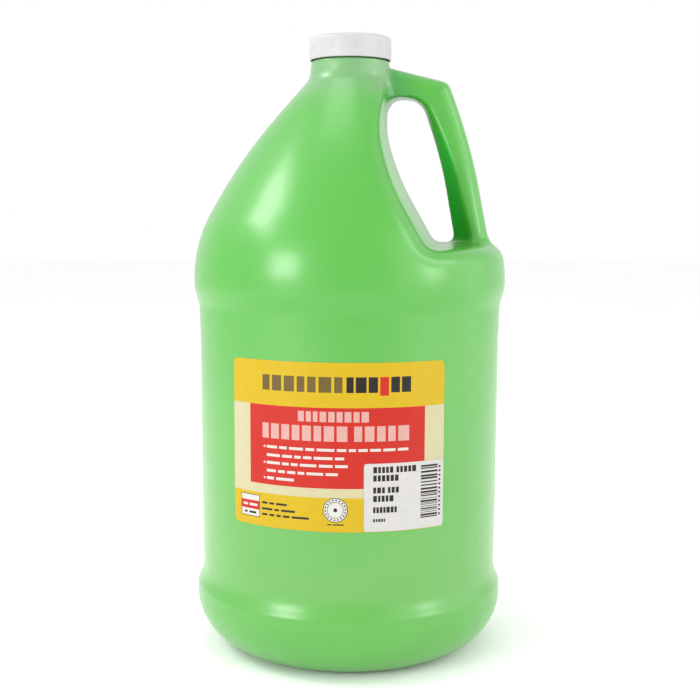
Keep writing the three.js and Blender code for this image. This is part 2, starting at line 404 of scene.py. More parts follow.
class Skin:
    """Vertices in millimetres and faces, gathered from several joined surfaces."""

    def __init__(self):
        self.blocks = []
        self.faces = []
        self.total = 0

    def add(self, points):
        """Takes vertices in and returns their numbers, in the same arrangement."""
        points = np.asarray(points, float)
        count = points[..., 0].size
        numbers = np.arange(self.total, self.total + count).reshape(points.shape[:-1])
        self.blocks.append(points.reshape(-1, 3))
        self.total += count
        return numbers

    @property
    def vertices(self):
        return np.concatenate(self.blocks)

    def sheet(self, numbers, wrap=False, flip=False):
        """Quads between the rows and columns of a table of vertex numbers."""
        if wrap:
            numbers = np.hstack([numbers, numbers[:, :1]])
        ring = [numbers[:-1, :-1], numbers[:-1, 1:], numbers[1:, 1:], numbers[1:, :-1]]
        quads = np.stack(ring[::-1] if flip else ring, -1).reshape(-1, 4)
        self.faces += quads.tolist()

    def fan(self, centre, ring, flip=False):
        """Triangles from one vertex to a closed ring."""
        for a, b in zip(ring, np.roll(ring, -1)):
            self.faces.append([int(centre), int(b), int(a)] if flip else [int(centre), int(a), int(b)])

    def zip(self, lower, upper, flip=False):
        """Triangles between two rings in order of angle, whatever their numbers of vertices."""
        points = self.vertices
        angles = [np.arctan2(points[ring, 1], points[ring, 0]) for ring in (lower, upper)]
        (a, b), (lower, upper) = [[np.sort(v) for v in angles],
                                  [np.asarray(r)[np.argsort(v)] for r, v in zip((lower, upper), angles)]]
        i = j = 0
        while i < len(a) or j < len(b):
            next_a = a[i + 1] if i + 1 < len(a) else a[0] + 2 * math.pi
            next_b = b[j + 1] if j + 1 < len(b) else b[0] + 2 * math.pi
            p, q = int(lower[i % len(a)]), int(upper[j % len(b)])
            if j >= len(b) or (i < len(a) and next_a <= next_b):
                i += 1
                face = [p, int(lower[i % len(a)]), q]
            else:
                j += 1
                face = [p, int(upper[j % len(b)]), q]
            self.faces.append(face[::-1] if flip else face)


def circle(count):
    return np.arange(count) * 2 * math.pi / count


def turned_rows(profile, angles, shift=None):
    """Rows of points for a half outline turned about Z; shift(angles, radius, z) moves the radius."""
    rows = []
    for radius, z in profile:
        r = radius + (shift(angles, radius, z) if shift else 0 * angles)
        rows.append(np.stack([r * np.cos(angles), r * np.sin(angles), np.full_like(angles, z)], 1))
    return np.array(rows)


def piece(name, skin, materials, body, replaced=(), looks=None):
    """One shown piece of the object, made from a skin in millimetres."""
    mesh = bpy.data.meshes.new(name)
    mesh.from_pydata((skin.vertices * MM).tolist(), [], skin.faces)
    for material in materials:
        mesh.materials.append(material)
    if looks is not None:
        mesh.polygons.foreach_set("material_index", np.asarray(looks, np.int32))
    mesh.polygons.foreach_set("use_smooth", np.ones(len(mesh.polygons), bool))
    mesh.update()
    made = bpy.data.objects.new(name, mesh)
    bpy.context.scene.collection.objects.link(made)
    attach(made, body)
    if replaced:
        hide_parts(*replaced)
    return made


def crease(made, degrees):
    """Marks edges sharper than an angle, so that shading breaks there."""
    made.data.set_sharp_from_angle(angle=math.radians(degrees))


# ---------------------------------------------------------------- looks

def srgb(red, green, blue):
    """A linear colour with alpha from display values 0 to 255."""
    parts = [v / 255 for v in (red, green, blue)]
    return [v / 12.92 if v <= 0.04045 else ((v + 0.055) / 1.055) ** 2.4 for v in parts] + [1.0]


class Look:
    """A material: one Principled shader and the nodes that vary it, read in object space."""

    def __init__(self, name, **sockets):
        self.material = bpy.data.materials.new(name)
        self.material.use_nodes = True
        self.tree = self.material.node_tree
        self.shader = self.tree.nodes["Principled BSDF"]
        self.place = self.tree.nodes.new("ShaderNodeTexCoord").outputs["Object"]
        for socket, value in sockets.items():
            self.shader.inputs[socket.replace("_", " ")].default_value = value

    def math(self, operation, *values):
        node = self.tree.nodes.new("ShaderNodeMath")
        node.operation = operation
        for socket, value in zip(node.inputs, values):
            self.put(value, socket)
        return node.outputs[0]

    def put(self, value, socket):
        """Links an output to a socket, or sets the socket to a plain value."""
        if isinstance(value, bpy.types.NodeSocket):
            self.tree.links.new(value, socket)
        else:
            socket.default_value = value

    def product(self, first, *others):
        """Shares multiplied together."""
        for other in others:
            first = self.math("MULTIPLY", first, other)
        return first

    def noise(self, scale, detail=3.0):
        """Noise from about 0.3 to 0.7, with features about 1/scale metres across."""
        node = self.tree.nodes.new("ShaderNodeTexNoise")
        node.inputs["Scale"].default_value = scale
        node.inputs["Detail"].default_value = detail
        self.put(self.place, node.inputs["Vector"])
        return node.outputs["Fac"]

    def uneven(self, scale, low=0.0, high=1.0, detail=3.0):
        """A value that wanders from low to high."""
        return self.spread(self.noise(scale, detail), 0.3, 0.7, low, high)

    def mottled(self, scale, first, second):
        """A colour that wanders from one to another."""
        return self.mix(self.uneven(scale), first, second)

    def spread(self, value, low, high, to_low=0.0, to_high=1.0, smooth=False):
        """Moves a value from one range to another, without going beyond it."""
        node = self.tree.nodes.new("ShaderNodeMapRange")
        node.interpolation_type = "SMOOTHSTEP" if smooth else "LINEAR"
        for socket, number in zip(list(node.inputs)[:5], (value, low, high, to_low, to_high)):
            self.put(number, socket)
        return node.outputs[0]

    def mix(self, share, first, second):
        """Colour between two, by a share from 0 to 1."""
        node = self.tree.nodes.new("ShaderNodeMix")
        node.data_type = "RGBA"
        sockets = [s for s in node.inputs if s.enabled]
        for socket, value in zip(sockets, (share, first, second)):
            self.put(value, socket)
        return next(s for s in node.outputs if s.enabled)

    def axes(self):
        node = self.tree.nodes.new("ShaderNodeSeparateXYZ")
        self.put(self.place, node.inputs[0])
        return node.outputs

    def bump(self, height, distance, strength):
        node = self.tree.nodes.new("ShaderNodeBump")
        node.inputs["Distance"].default_value = distance
        node.inputs["Strength"].default_value = strength
        self.put(height, node.inputs["Height"])
        self.put(node.outputs[0], self.shader.inputs["Normal"])

    def colour(self, value):
        self.put(value, self.shader.inputs["Base Color"])

    def roughness(self, value):
        self.put(value, self.shader.inputs["Roughness"])


# Where the jug's colour changes, in metres: heights, X, and distances from the opening or parting plane
# Painted floor light: the paint is paler low down and fades to plain between the first two heights, and is
# less pale below the base step's heights
FLOOR_LIGHT_FADE = (0.05, 0.2)
BASE_STEP_FADE = (0.033, 0.043)
FILL_FADE = (0.262, 0.282)
FILL_WAVER = 0.002
HEADSPACE_END = (0.018, 0.022)
# Painted shade on the handle's inner face, fading in and out by height and by distance from the opening's
# edge
INNER_FACE_START = (0.2, 0.206)
INNER_FACE_END = (0.24, 0.262)
INNER_FACE_BEFORE = (-0.006, -0.004)
INNER_FACE_BEYOND = (0.002, 0.008)
# Painted shade where the handle's top bar leaves the neck
BAR_ROOT_NEAR = (0.013, 0.02)
BAR_ROOT_FAR = (0.02, 0.036)
BAR_ROOT_START = (0.25, 0.262)
BAR_ROOT_SIDE = (0.0125, 0.016)
SEAM_SIDE = (0.0001, 0.0005)

# The finger opening's edge on the handle's side: X as slope times height plus start, low and high part
OPENING_LOW_EDGE = (-0.182, 0.0886)
OPENING_HIGH_EDGE = (-0.341, 0.1267)


def paint_and_floor_light(look, cloud, z):
    """Paint seen through the wall, with painted light: paler low down for the floor's reflected light, and
    less pale again below the base step.
    """
    plain_paint = look.mix(cloud, srgb(54, 151, 26), srgb(60, 154, 32))
    floor_lit_paint = look.mix(cloud, srgb(78, 152, 54), srgb(84, 155, 59))
    floor_light_share = look.spread(z, *FLOOR_LIGHT_FADE, 1, 0)
    above_step = look.spread(z, *BASE_STEP_FADE, 0.45, 1, smooth=True)
    return look.mix(look.product(floor_light_share, above_step), plain_paint, floor_lit_paint)


def inner_face_shade(look, x, z):
    """Share of the painted shade on the handle's face towards the fingers."""
    edges = [look.math("MULTIPLY_ADD", z, *line) for line in (OPENING_LOW_EDGE, OPENING_HIGH_EDGE)]
    from_opening = look.math("SUBTRACT", x, look.math("MINIMUM", *edges))
    return look.product(
        look.spread(from_opening, *INNER_FACE_BEYOND, 1, 0, smooth=True),
        look.spread(from_opening, *INNER_FACE_BEFORE, smooth=True),
        look.spread(z, *INNER_FACE_START, smooth=True),
        look.spread(z, *INNER_FACE_END, 1, 0, smooth=True),
    )


def bar_root_shade(look, x, side, z):
    """Share of the painted shade where the handle's top bar leaves the neck."""
    return look.product(
        look.spread(x, *BAR_ROOT_FAR, 0.75, 0),
        look.spread(z, *BAR_ROOT_START, smooth=True),
        look.spread(side, *BAR_ROOT_SIDE, 1, 0, smooth=True),
        look.spread(x, *BAR_ROOT_NEAR, smooth=True),
    )


def headspace(look, x, z):
    """Share of empty wall, above a slightly wavering fill line and off the handle."""
    line = look.math("ADD", z, look.uneven(60, -FILL_WAVER, FILL_WAVER))
    above = look.spread(line, *FILL_FADE, smooth=True)
    return look.product(above, look.spread(x, *HEADSPACE_END, 1, 0, smooth=True))


def jug_look():
    """Natural polyethylene, opaque but coloured by what it would let through: paint up to the fill level,
    with painted floor light low down and painted shade on the handle's inner face and at the top bar's root.
    """
    look = Look("natural_polyethylene", IOR=1.52, Coat_Weight=0.85, Coat_Roughness=0.25)
    x, y, z = look.axes()
    side = look.math("ABSOLUTE", y)
    cloud = look.uneven(16)
    paint_and_painted_light = paint_and_floor_light(look, cloud, z)
    # Painted shade: deeper green on the handle's inner face
    paint_and_painted_light = look.mix(inner_face_shade(look, x, z), paint_and_painted_light, srgb(8, 178, 50))
    # Painted shade: darker green where the top bar leaves the neck
    paint_and_painted_light = look.mix(bar_root_shade(look, x, side, z), paint_and_painted_light, srgb(14, 126, 40))
    empty = look.mix(cloud, srgb(92, 148, 87), srgb(99, 154, 94))
    look.colour(look.mix(headspace(look, x, z), paint_and_painted_light, empty))
    look.roughness(look.uneven(120, 0.46, 0.54))
    seam = look.spread(side, *SEAM_SIDE, 0.8, 0, smooth=True)
    orange_peel = look.uneven(260, 0, 0.1, detail=1)
    look.bump(look.math("ADD", seam, orange_peel), 0.0001, 0.5)
    return look.material


def paint_look():
    look = Look("liquid_paint", IOR=1.45, Coat_Weight=0.6, Coat_Roughness=0.08)
    look.colour(look.mottled(45, srgb(70, 186, 66), srgb(84, 196, 78)))
    look.roughness(look.uneven(90, 0.16, 0.28))
    look.bump(look.noise(55, 1), 0.0004, 0.4)
    return look.material


def cap_look():
    look = Look("white_polypropylene", IOR=1.49)
    look.colour(look.mottled(70, srgb(176, 175, 175), srgb(182, 181, 181)))
    look.roughness(look.uneven(500, 0.42, 0.52))
    look.bump(look.noise(2600, 2), 0.00004, 0.5)
    return look.material


def liner_look():
    look = Look("liner_foam", IOR=1.45)
    cells = look.spread(look.noise(900), 0.35, 0.65)
    look.colour(look.mix(cells, srgb(226, 224, 214), srgb(243, 242, 236)))
    look.roughness(look.uneven(1300, 0.62, 0.78))
    look.bump(look.noise(3000, 2), 0.00005, 0.6)
    return look.material


def film(name, colour, gloss):
    """A label film: colour(look) makes its colour, and gloss is its lowest and highest roughness."""
    look = Look(name, IOR=1.48, Specular_IOR_Level=0.3)
    look.colour(colour(look))
    look.roughness(look.uneven(420, *gloss))
    look.bump(look.noise(1500, 2), 0.00002, 0.5)
    return look.material


def print_look(name, dark, light, gloss=(0.29, 0.4)):
    """One ink or film colour of the label, with a faint unevenness."""
    return film(name, lambda look: look.mottled(210, dark, light), gloss)


DOT_PITCH = 0.0011
DOT_EDGE = (0.2, 0.32)


def dotted_ground(look):
    """Staggered fine dots on a pale ground, laid out by arc round the jug and height."""
    x, y, z = look.axes()
    angle = look.math("ARCTAN2", x, look.math("MULTIPLY", y, -1.0))
    arc = look.math("MULTIPLY", angle, (LABEL_INNER + FILM) * MM)
    offsets = []
    for turned in (look.math("ADD", arc, z), look.math("SUBTRACT", arc, z)):
        count = look.math("ADD", look.math("DIVIDE", turned, DOT_PITCH), 200.0)
        offsets.append(look.math("SUBTRACT", look.math("FRACT", count), 0.5))
    reach = look.math("SQRT", look.math("ADD", *[look.math("MULTIPLY", o, o) for o in offsets]))
    dot = look.spread(reach, *DOT_EDGE, 1, 0, smooth=True)
    ground = look.mottled(210, srgb(176, 166, 119), srgb(178, 170, 124))
    return look.mix(dot, ground, srgb(194, 192, 183))


# ---------------------------------------------------------------- the jug and its paint

# The turned parts' longest row and numbers of columns, and the paint net's reach above its level
TALLEST_ROW = 8
OUTER_COLUMNS = 240
INNER_COLUMNS = 144
PAINT_COLUMNS = 160
PAINT_HEADROOM = 6


def inset_line(points, distance):
    """A half outline moved to its inner side, with its first point kept on the axis."""
    ahead = np.gradient(points, axis=0)
    ahead /= np.linalg.norm(ahead, axis=1, keepdims=True)
    moved = points + distance * np.stack([-ahead[:, 1], ahead[:, 0]], 1)
    moved[0] = (0, points[0, 1] + distance)
    return moved


def lower_profile(inset):
    """The half outline of the jug's turned part, from the axis under the base up to the panel."""
    line = rounded(BODY_CORNERS, sag=0.004)
    last = LATHE_TOP - NET_STEP
    wall = line[line[:, 0] > PANEL_RADIUS - 1]
    line = np.vstack([line[line[:, 1] < last], (np.interp(last, wall[:, 1], wall[:, 0]), last)])
    filled = [line[:1]]
    for a, b in zip(line[:-1], line[1:]):
        pieces = max(1, math.ceil(np.linalg.norm(b - a) / TALLEST_ROW))
        filled.append(a + (b - a) * np.arange(1, pieces + 1)[:, None] / pieces)
    filled = np.concatenate(filled)
    return inset_line(filled, inset) if inset else filled


def blown_side(skin, form, inset, top, step, columns, level=None, flip=False):
    """One face of the blown wall: turned below and a net above, up to an open ring or a closed level."""
    profile = lower_profile(inset)
    rows = skin.add(turned_rows(profile[1:], circle(columns)))
    centre = skin.add([(0, 0, profile[0, 1])])[0]
    skin.fan(centre, rows[0], flip=not flip)
    skin.sheet(rows, wrap=True, flip=flip)
    reach = SHOULDER_RADIUS + 2.5 * step
    surface = Inset(form, inset, level)
    vertices, quads = surface_net(surface, (-reach, -reach, LATHE_TOP), (reach, reach, top), step)
    levels = [LATHE_TOP] if level else [LATHE_TOP, top]
    vertices, found = settle(surface, vertices, quads, levels)
    numbers = skin.add(vertices)
    skin.faces += numbers[quads[:, ::-1] if flip else quads].tolist()
    skin.zip(rows[-1], numbers[found[0]], flip)
    return numbers[found[-1]]


def thread(angles, z, start_turn, turns, start_z, root_half, crest_half, height):
    """Height of a right-hand thread over its root, at one level."""
    best = np.zeros_like(angles)
    for lap in range(3):
        turn = angles / (2 * math.pi) + lap
        along = (turn - start_turn) / turns
        fade = np.clip(10 * np.minimum(along, 1 - along), 0, 1)
        off = np.abs(z - start_z - THREAD_LEAD * turn)
        rise = np.clip((root_half - off) / (root_half - crest_half), 0, 1)
        best = np.maximum(best, fade * rise * rise * (3 - 2 * rise))
    return best * height


def arc_points(centre, radius, start, end, count):
    """Points of an arc in a half outline, with angles in degrees from the outward direction."""
    angles = np.radians(np.linspace(start, end, count))
    return [(centre[0] + radius * math.cos(a), centre[1] + radius * math.sin(a)) for a in angles]


# Threads: where each starts and how many turns it has, its half widths at root and crest, and its height
NECK_THREAD = {
    "start_turn": 0, "turns": 1.15, "start_z": 290.6,
    "root_half": 0.95, "crest_half": 0.45, "height": 1.25,
}
CAP_THREAD = {
    "start_turn": 0.25, "turns": 1.1, "start_z": 289.0,
    "root_half": 0.8, "crest_half": 0.4, "height": 1.2,
}
THREAD_ROW = 0.2
NECK_PLAIN_Z = 289.2
NECK_COLUMNS = 216
RIM_ROUND = 0.5
LIP_ROUND = 0.4

# Two sizes closer than this are the same
TOUCH = 0.01


def neck_shift(angles, radius, z):
    """The thread stands out from the neck's straight part."""
    if radius < NECK_RADIUS - TOUCH or z < NECK_PLAIN_Z + TOUCH:
        return 0 * angles
    return thread(angles, z, **NECK_THREAD)


def neck_rows():
    """The neck finish: the step under the cap, the thread, over the rim and down the bore."""
    step = [(18.96, 287.5), (18.84, 287.8), (18.5, 288), (17.8, 288.1), (17.56, 288.3)]
    levels = np.arange(NECK_PLAIN_Z + THREAD_ROW, 296.3, THREAD_ROW)
    wall = [(NECK_RADIUS, z) for z in (NECK_PLAIN_Z, *levels)]
    rim = arc_points((NECK_RADIUS - RIM_ROUND, RIM_Z - RIM_ROUND), RIM_ROUND, 0, 90, 6)
    lip = arc_points((BORE_RADIUS + LIP_ROUND, RIM_Z - LIP_ROUND), LIP_ROUND, 90, 180, 6)
    bore = [(BORE_RADIUS, z) for z in (294, 291.5, 289.8)]
    flare = [(15.75, 289.1), (16.3, 288.3), (16.95, 287.6)]
    return turned_rows(step + wall + rim + lip + bore + flare, circle(NECK_COLUMNS), neck_shift)


def make_jug(form):
    skin = Skin()
    outer = blown_side(skin, form, 0, NECK_CUT_Z, NET_STEP, OUTER_COLUMNS)
    inner = blown_side(skin, form, WALL, NECK_CUT_Z, INNER_NET_STEP, INNER_COLUMNS, flip=True)
    neck = skin.add(neck_rows())
    skin.sheet(neck, wrap=True)
    skin.zip(outer, neck[0])
    skin.zip(inner, neck[-1], flip=True)
    made = piece("jug_wall", skin, [jug_look()], "jug", ["jug_body"])
    crease(made, 50)
    return made


def make_paint(form):
    skin = Skin()
    inset, top = WALL + PAINT_GAP, FILL_LEVEL + PAINT_HEADROOM
    blown_side(skin, form, inset, top, PAINT_NET_STEP, PAINT_COLUMNS, level=FILL_LEVEL)
    made = piece("paint", skin, [paint_look()], "jug", ["paint_fill"])
    crease(made, 60)
    return made


# ---------------------------------------------------------------- the cap and its liner

CAP_SKIRT_RADIUS = 19.85
CAP_INNER_RADIUS = 19.05
CAP_BOTTOM_Z = 288.5
CAP_TOP_Z = 299.5
CAP_CEILING_Z = 298.3
CAP_EDGE = 1.6
SKIRT_ROUND = 0.25
RIB_LOW, RIB_HIGH = 292.3, 296.5
RIB_PROUD = 0.11
RIB_END = 0.15

# Ten groups of four grip ribs: their pitch, and half widths at foot and crest, in radians
RIB_PITCH = 1 / 20
RIB_FOOT = 0.31 * RIB_PITCH
RIB_CREST = 0.22 * RIB_PITCH
RIB_CENTRES = np.radians(30.5 + 36 * np.arange(10))[:, None] + (np.arange(4) - 1.5) * RIB_PITCH


def cap_angles():
    """Angles round the cap, close together at the edges of the grip ribs."""
    edges = np.array([-RIB_FOOT, -RIB_CREST, 0, RIB_CREST, RIB_FOOT])
    marked = np.sort(np.mod((RIB_CENTRES[..., None] + edges).ravel(), 2 * math.pi))
    widest = 0.045
    angles = []
    for a, b in zip(marked, np.append(marked[1:], marked[0] + 2 * math.pi)):
        steps = max(1, round((b - a) / widest))
        angles += list(a + (b - a) * np.arange(steps) / steps)
    return np.sort(np.mod(angles, 2 * math.pi))


def cap_shift(angles, radius, z):
    """Grip ribs stand out from the skirt, and the thread stands in from the inner wall."""
    if radius > CAP_SKIRT_RADIUS - TOUCH and RIB_LOW <= z <= RIB_HIGH:
        apart = np.abs(np.mod(angles[:, None] - RIB_CENTRES.ravel() + math.pi, 2 * math.pi) - math.pi).min(1)
        share = np.clip((RIB_FOOT - apart) / (RIB_FOOT - RIB_CREST), 0, 1)
        return RIB_PROUD * share * min(1, (z - RIB_LOW) / RIB_END, (RIB_HIGH - z) / RIB_END)
    if abs(radius - CAP_INNER_RADIUS) < TOUCH:
        return -thread(angles, z, **CAP_THREAD)
    return 0 * angles


def make_cap():
    """A turned shell, from the middle of its ceiling down the inner wall and up the skirt to the top."""
    low, ceiling, top = CAP_BOTTOM_Z, CAP_CEILING_Z, CAP_TOP_Z
    inner, outer = CAP_INNER_RADIUS, CAP_SKIRT_RADIUS
    profile = [(r, ceiling) for r in (6, 12, 17)]
    profile += arc_points((inner - RIM_ROUND, ceiling - RIM_ROUND), RIM_ROUND, 90, 0, 4)
    profile += [(inner, z) for z in np.arange(297, 288.8, -THREAD_ROW)]
    profile += [(inner + 0.06, low + 0.06), (inner + 0.2, low)]
    profile += arc_points((outer - SKIRT_ROUND, low + SKIRT_ROUND), SKIRT_ROUND, -90, 0, 4)
    profile += [(outer, z) for z in (290.2, 292.2, RIB_LOW, RIB_LOW + RIB_END)]
    profile += [(outer, z) for z in (294.4, RIB_HIGH - RIB_END, RIB_HIGH, 296.6, 297.2)]
    profile += arc_points((outer - CAP_EDGE, top - CAP_EDGE), CAP_EDGE, 0, 90, 9)
    profile += [(r, top) for r in (17, 14.5, 10, 5)]
    skin = Skin()
    rows = skin.add(turned_rows(profile, cap_angles(), cap_shift))
    skin.sheet(rows, wrap=True)
    skin.fan(skin.add([(0, 0, ceiling)])[0], rows[0], flip=True)
    skin.fan(skin.add([(0, 0, top)])[0], rows[-1])
    made = piece("cap_shell", skin, [cap_look()], "cap", ["screw_cap"])
    crease(made, 35)
    return made


LINER_RADIUS = 18.6
LINER_ROUND = 0.15
LINER_COLUMNS = 96
GROOVE_DEPTH = 0.08


def make_liner():
    """A foam disc with the groove that the rim has pressed into it."""
    low, high = (corner[2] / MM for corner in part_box("cap_liner"))
    middle = LINER_RADIUS - LINER_ROUND
    groove = [(15.4, low), (15.8, low + GROOVE_DEPTH), (17.3, low + GROOVE_DEPTH), (17.7, low)]
    profile = [(5, low), (11, low), *groove]
    profile += arc_points((middle, low + LINER_ROUND), LINER_ROUND, -90, 0, 4)
    profile += arc_points((middle, high - LINER_ROUND), LINER_ROUND, 0, 90, 4)
    profile += [(r, high) for r in (15, 10, 5)]
    skin = Skin()
    rows = skin.add(turned_rows(profile, circle(LINER_COLUMNS)))
    skin.sheet(rows, wrap=True)
    skin.fan(skin.add([(0, 0, low)])[0], rows[0], flip=True)
    skin.fan(skin.add([(0, 0, high)])[0], rows[-1])
    return piece("cap_liner_disc", skin, [liner_look()], "liner", ["cap_liner"])


# ---------------------------------------------------------------- the label and the sticker

# Marks are (left, right, low, high, look), from the label's middle along its arc and up from the floor
YELLOW, RED, CREAM, INK, WHITE, THIN_INK, THIN_WHITE = range(7)
LABEL_LEFT, LABEL_RIGHT, LABEL_LOW, LABEL_HIGH = -52.3, 52.3, 72.7, 149.2
LABEL_CORNER = 2.5

# The radius of the label's back and the thickness of its film
LABEL_INNER = 73.96
FILM = 0.15

RED_PANEL = (-41.8, 41.8, 92.5, 129.0)
TOP_BAND = (129.0, LABEL_HIGH)
LOW_BAND = (LABEL_LOW, 88.3)
TITLE = (135.8, 142.8)
SMALL_WORDS = (122.6, 127.3)
LARGE_WORDS = (113.9, 120.8)

# Lines of words: the height of each one's middle, and its right end
CLAIMS = ((110.0, 33.6), (106.2, 4.3), (102.7, 5.9), (99.0, 1.5), (95.6, -18.7))
MAKER_LINES = ((83.8, -22.2), (81.0, -18.2), (78.4, -11.6))
CLAIM_POINTS = (110.0, 102.7, 95.6)

BADGE = (-47.8, -36.5, 76.5, 86.9)
BADGE_FRAME = 0.3
BADGE_BAND = (80.0, 84.0)

STICKER_LEFT, STICKER_RIGHT = LABEL_RIGHT - 39.2, LABEL_RIGHT - 0.2
STICKER_LOW, STICKER_HIGH = LABEL_LOW + 0.2, LABEL_LOW + 31.2
STICKER_CORNER = 1.0
STICKER_INNER = LABEL_INNER + FILM + 0.04

# The sticker's rows: low, high, and for each word its left, right, number of blocks and the gap
STICKER_ROWS = (
    (99.6, 102.4, (17.3, 26.4, 5, 0.5), (27.9, 37.4, 5, 0.5)),
    (95.8, 98.6, (17.3, 28.9, 6, 0.5)),
    (90.4, 93.1, (17.3, 22.6, 3, 0.5), (24.0, 29.1, 3, 0.5)),
    (86.5, 89.3, (17.3, 26.6, 5, 0.5)),
    (81.4, 84.1, (17.3, 28.2, 7, 0.4)),
    (77.3, 78.7, (17.3, 22.8, 5, 0.35)),
)
BARCODE = (39.9, 48.8, 77.7, 102.0)
BARCODE_LINE = 0.3


def label_inks():
    return [
        print_look("label_yellow", srgb(181, 151, 5), srgb(184, 154, 9)),
        print_look("label_red", srgb(171, 28, 14), srgb(175, 32, 18)),
        film("label_cream", dotted_ground, (0.3, 0.4)),
        print_look("label_ink", srgb(22, 18, 17), srgb(30, 25, 23)),
        print_look("label_white", srgb(187, 183, 177), srgb(193, 190, 185)),
        print_look("label_thin_ink", srgb(90, 72, 28), srgb(97, 79, 34)),
        print_look("label_thin_white", srgb(187, 141, 133), srgb(192, 148, 140)),
    ]


def blocks(left, right, low, high, count, gap, look):
    """A row of solid blocks of uneven width, standing for a word in capitals."""
    widths = RNG.uniform(0.75, 1.25, count)
    widths *= (right - left - gap * (count - 1)) / widths.sum()
    marks = []
    for width in widths:
        marks.append((left, left + width, low, high, look))
        left += width + gap
    return marks


def words(left, right, middle, height, look, shortest=3.0, longest=8.5, gap=1.1):
    """A line of bars as long as words."""
    marks = []
    while right - left > shortest:
        end = min(right, left + RNG.uniform(shortest, longest))
        if right - end < shortest + gap:
            end = right
        marks.append((left, end, middle - height / 2, middle + height / 2, look))
        left = end + gap
    return marks


def label_marks():
    marks = [(*RED_PANEL, RED)]
    marks += [(LABEL_LEFT, LABEL_RIGHT, *band, YELLOW) for band in (TOP_BAND, LOW_BAND)]
    marks += blocks(-34.6, 3.5, *TITLE, 7, 1.3, THIN_INK)
    marks += blocks(5.2, 19.2, *TITLE, 3, 0.9, INK)
    marks += [(20.2, 24.2, 134.4, 142.8, RED)]
    marks += blocks(25.2, 34.6, *TITLE, 2, 0.9, INK)
    marks += blocks(-16.7, 15.2, *SMALL_WORDS, 9, 0.9, THIN_WHITE)
    marks += blocks(-34.7, 5.7, *LARGE_WORDS, 8, 1.2, THIN_WHITE)
    marks += blocks(8.7, 33.9, *LARGE_WORDS, 5, 1.2, THIN_WHITE)
    for middle, right in CLAIMS:
        marks += words(-32.4, right, middle, 1.25, WHITE)
    marks += [(-34.1, -33.2, z - 0.45, z + 0.45, WHITE) for z in CLAIM_POINTS]
    for middle, right in MAKER_LINES:
        marks += words(-35.2, right, middle, 1.0, INK, 2.2, 6)
    return marks + badge_marks() + words(-3.2, 4.2, 76.1, 0.6, INK, 1.5, 3, 0.6)


def badge_marks():
    """A framed white rectangle with a red band and bars for two lines of words."""
    left, right, low, high = BADGE
    inside = (left + BADGE_FRAME, right - BADGE_FRAME)
    marks = [(*BADGE, INK)]
    marks += [(*inside, low + BADGE_FRAME, high - BADGE_FRAME, WHITE), (*inside, *BADGE_BAND, RED)]
    marks += words(-46.4, -37.8, 82.0, 1.1, WHITE, 1.6, 4)
    return marks + words(-45.6, -38.6, 78.4, 1.0, INK, 1.4, 3)


def sticker_marks():
    marks = []
    for low, high, *row in STICKER_ROWS:
        for left, right, count, gap in row:
            marks += blocks(left, right, low, high, count, gap, INK)
    left, right, low, high = BARCODE
    while low < high:
        thick = BARCODE_LINE * RNG.integers(1, 4)
        marks.append((left, right, low, low + thick, INK))
        low += thick + BARCODE_LINE * RNG.integers(1, 4)
    return marks + [(49.4, 50.5, z, z + 0.9, INK) for z in np.arange(78.2, high, 2.0)]


WIDEST_COLUMN = 1.5
TALLEST_LEVEL = 4.0


def grid_lines(low, high, edges, widest):
    """Sorted lines from low to high through every edge, none further apart than widest."""
    inside = sorted({round(e, 2) for e in edges if low + 0.02 < e < high - 0.02})
    lines = [low]
    for e in [*inside, high]:
        steps = max(1, math.ceil((e - lines[-1]) / widest))
        lines += [lines[-1] + (e - lines[-1]) * n / steps for n in range(1, steps + 1)]
    return np.array(lines)


def round_corners(u, z, left, right, low, high, corner):
    """Moves the points of a rectangle's corner squares so that its corners are round."""
    middle = np.array([(left + right) / 2, (low + high) / 2])
    half = np.array([(right - left) / 2, (high - low) / 2]) - corner
    offset = np.stack([u, z], -1) - middle
    over = np.maximum(np.abs(offset) - half, 0)
    both = (over > 0).all(-1)
    scale = np.where(both, over.max(-1) / np.maximum(np.hypot(over[..., 0], over[..., 1]), 1e-9), 1)
    moved = middle + np.sign(offset) * (np.minimum(np.abs(offset), half) + over * scale[..., None])
    return moved[..., 0], moved[..., 1]


def on_panel(arc, z, radius):
    """Points at an arc length from the label's middle, measured on the panel, and a height."""
    angle = arc / PANEL_RADIUS
    return np.stack([radius * np.sin(angle), -radius * np.cos(angle), z], -1)


